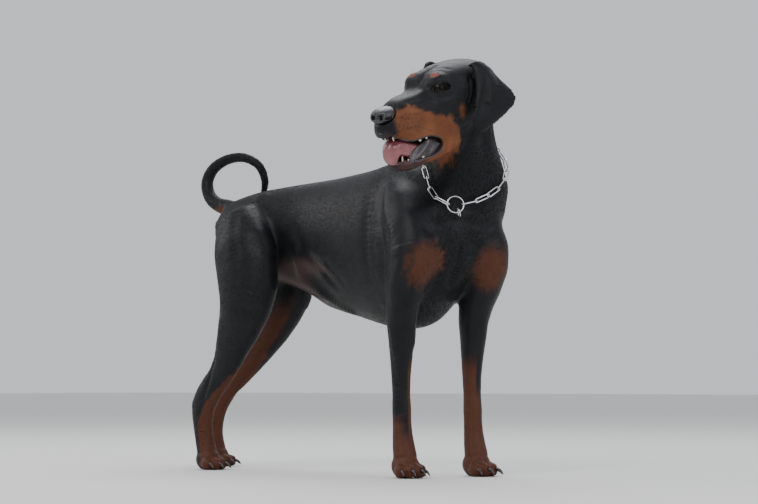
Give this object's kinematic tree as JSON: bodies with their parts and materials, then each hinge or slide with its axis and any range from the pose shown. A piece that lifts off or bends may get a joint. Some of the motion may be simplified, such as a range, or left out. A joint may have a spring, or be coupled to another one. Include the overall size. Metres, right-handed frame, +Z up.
{
  "type": "doberman pinscher standing figure",
  "caption": "Life-size short-coated black and tan guard dog standing square, head turned to its right, mouth open, drop ears, tail curled in a ring, wearing a steel link chain.",
  "frame": {"origin": "on the floor, under the middle of the bounding box", "axes": "+X the way the body faces, +Y the dog's left, +Z up"},
  "size_m": [0.944, 0.4454, 0.8674],
  "materials": {
    "black_coat": "short, close, glossy black coat",
    "tan_coat": "short rust coat",
    "nose_leather": "moist black nose leather",
    "claw_horn": "dark horn",
    "tongue": "wet pink",
    "eye": "dark brown, wet, highly polished",
    "chain_steel": "bright plated steel"
  },
  "bodies": {
    "root": {"claw_fore_left_1": "claw_horn", "claw_fore_left_2": "claw_horn", "claw_fore_left_3": "claw_horn", "claw_fore_left_4": "claw_horn", "forepaw_left": "tan_coat", "claw_fore_right_1": "claw_horn", "claw_fore_right_2": "claw_horn", "claw_fore_right_3": "claw_horn", "claw_fore_right_4": "claw_horn", "forepaw_right": "tan_coat", "claw_hind_left_1": "claw_horn", "claw_hind_left_2": "claw_horn", "claw_hind_left_3": "claw_horn", "claw_hind_left_4": "claw_horn", "hindpaw_left": "tan_coat", "claw_hind_right_1": "claw_horn", "claw_hind_right_2": "claw_horn", "claw_hind_right_3": "claw_horn", "claw_hind_right_4": "claw_horn", "hindpaw_right": "tan_coat", "foreleg_left": "black_coat", "foreleg_right": "black_coat", "hindleg_left": "black_coat", "hindleg_right": "black_coat", "tail_root": "black_coat", "tail_middle": "black_coat", "tail_tip": "black_coat", "torso": "black_coat", "neck": "black_coat", "head": "black_coat", "lower_jaw": "tan_coat", "tongue": "tongue", "nose": "nose_leather", "eye_left": "eye", "ear_left": "black_coat", "eye_right": "eye", "ear_right": "black_coat", "chain_link_01": "chain_steel", "chain_link_02": "chain_steel", "chain_link_03": "chain_steel", "chain_link_04": "chain_steel", "chain_link_05": "chain_steel", "chain_link_06": "chain_steel", "chain_link_07": "chain_steel", "chain_link_08": "chain_steel", "chain_link_09": "chain_steel", "chain_link_10": "chain_steel", "chain_link_11": "chain_steel", "chain_link_12": "chain_steel", "chain_link_13": "chain_steel", "chain_link_14": "chain_steel", "chain_link_15": "chain_steel", "chain_link_16": "chain_steel", "chain_link_17": "chain_steel", "chain_link_18": "chain_steel", "chain_link_19": "chain_steel", "chain_link_20": "chain_steel", "chain_ring_upper": "chain_steel", "chain_ring_lower": "chain_steel"}
  },
  "joints": []
}
